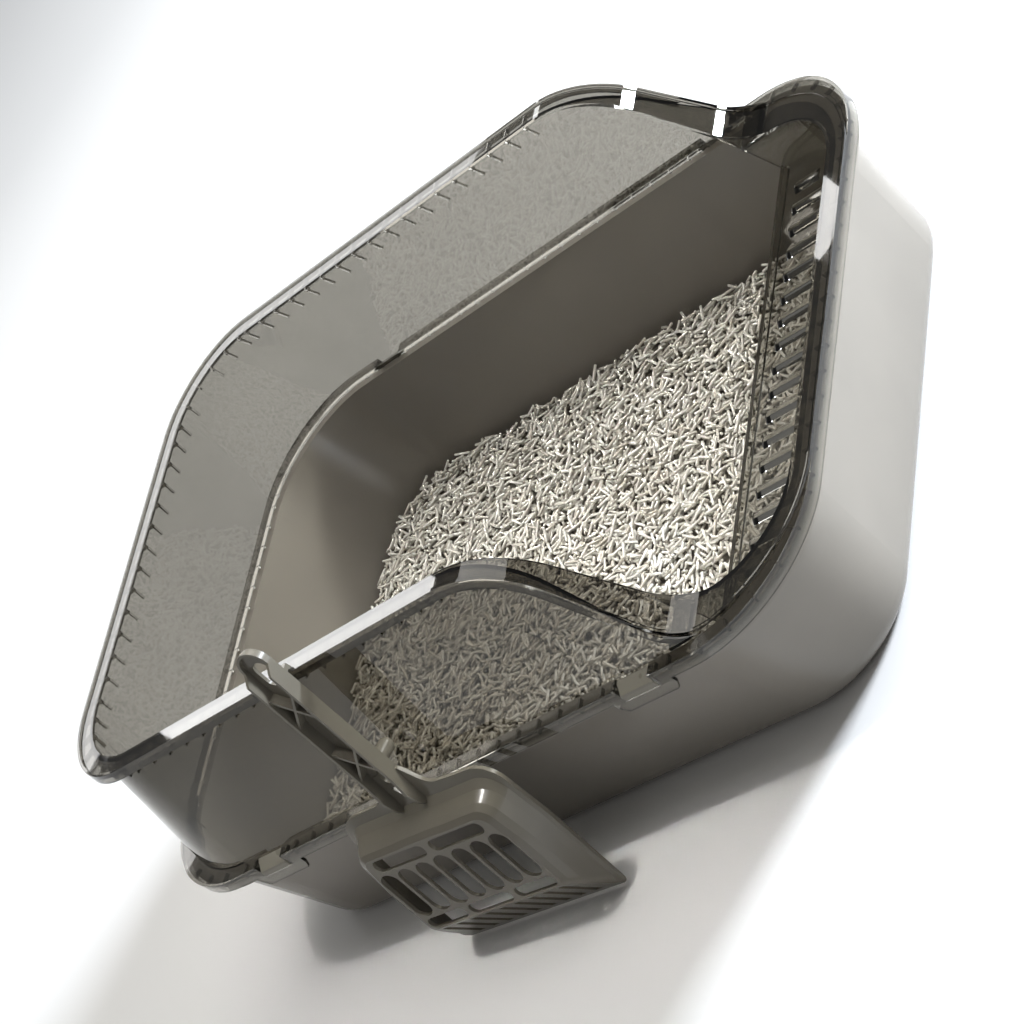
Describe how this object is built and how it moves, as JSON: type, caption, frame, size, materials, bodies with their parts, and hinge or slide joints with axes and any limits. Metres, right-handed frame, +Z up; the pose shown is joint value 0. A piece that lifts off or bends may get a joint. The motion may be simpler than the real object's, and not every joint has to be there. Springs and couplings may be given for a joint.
{
  "type": "hooded cat litter box",
  "caption": "Deep rounded litter pan with a smoked clear splash hood, low stepped entry, side snap clips, hanging slotted scoop and a bed of pellets.",
  "frame": {"origin": "middle of the pan's flat underside", "axes": "+X towards the low entry end, -Y towards the long side that carries the scoop, +Z up"},
  "size_m": [0.56, 0.4459, 0.233],
  "materials": {
    "pan_plastic": "satin gloss, warm grey",
    "smoked_clear": "polished smoked clear plastic",
    "taupe_plastic": "gloss, taupe",
    "pellets": "dry pressed pellets, matt"
  },
  "bodies": {
    "pan": {"litter_pan": "pan_plastic", "litter_bed": "pellets"},
    "hood": {"splash_hood": "smoked_clear"},
    "clip_fl": {"rim_clip_front_left": "taupe_plastic"},
    "clip_fr": {"rim_clip_front_right": "taupe_plastic"},
    "clip_bl": {"rim_clip_back_left": "taupe_plastic"},
    "clip_br": {"rim_clip_back_right": "taupe_plastic"},
    "scoop": {"litter_scoop": "taupe_plastic"}
  },
  "joints": [
    {"name": "hood_lift", "type": "slide", "parent": "pan", "child": "hood", "axis": [0, 0, 1], "range_m": [0, 0.26]},
    {"name": "scoop_lift", "type": "slide", "parent": "hood", "child": "scoop", "axis": [0, 0, 1], "range_m": [0, 0.25]},
    {"name": "clip_fl_swing", "type": "hinge", "parent": "hood", "child": "clip_fl", "pos_m": [-0.161, -0.1944, 0.1016], "axis": [-1, 0, 0], "range_deg": [0, 15], "stiffness_Nm_per_rad": 0.02},
    {"name": "clip_fr_swing", "type": "hinge", "parent": "hood", "child": "clip_fr", "pos_m": [0.161, -0.1944, 0.1016], "axis": [-1, 0, 0], "range_deg": [0, 15], "stiffness_Nm_per_rad": 0.02},
    {"name": "clip_bl_swing", "type": "hinge", "parent": "hood", "child": "clip_bl", "pos_m": [-0.161, 0.1944, 0.1016], "axis": [1, 0, 0], "range_deg": [0, 15], "stiffness_Nm_per_rad": 0.02},
    {"name": "clip_br_swing", "type": "hinge", "parent": "hood", "child": "clip_br", "pos_m": [0.161, 0.1944, 0.1016], "axis": [1, 0, 0], "range_deg": [0, 15], "stiffness_Nm_per_rad": 0.02}
  ]
}
